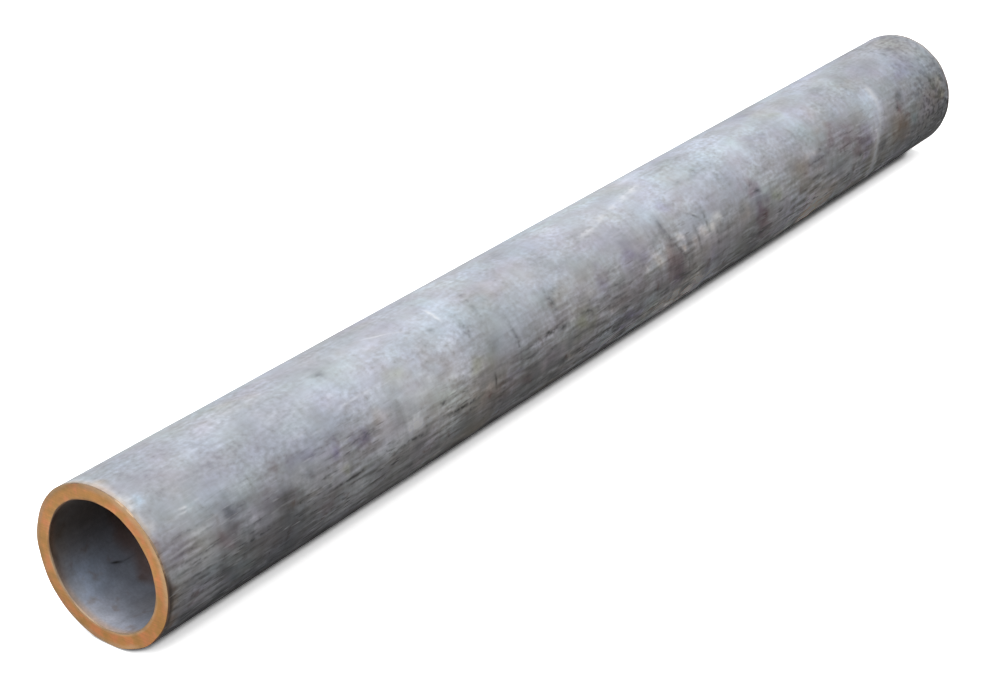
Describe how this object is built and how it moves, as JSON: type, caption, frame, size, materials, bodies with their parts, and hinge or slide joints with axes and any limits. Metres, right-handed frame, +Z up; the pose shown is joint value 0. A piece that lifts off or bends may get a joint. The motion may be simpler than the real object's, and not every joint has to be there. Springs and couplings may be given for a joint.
{
  "type": "aluminum bronze tube",
  "caption": "Straight length of thick-walled round bronze tube with a plain bore and square sawn ends, lying on its side.",
  "frame": {"origin": "on the floor line, straight below the middle of the tube's axis", "axes": "+X along the tube, away from the viewer's end; +Z up; +Y across the tube, away from the viewer's side"},
  "size_m": [0.97, 0.0999, 0.1],
  "materials": {
    "bronze": "dull grey mill oxide over the outside and the bore, bare orange-tan bronze on the sawn ends"
  },
  "bodies": {
    "root": {"tube": "bronze"}
  },
  "joints": []
}
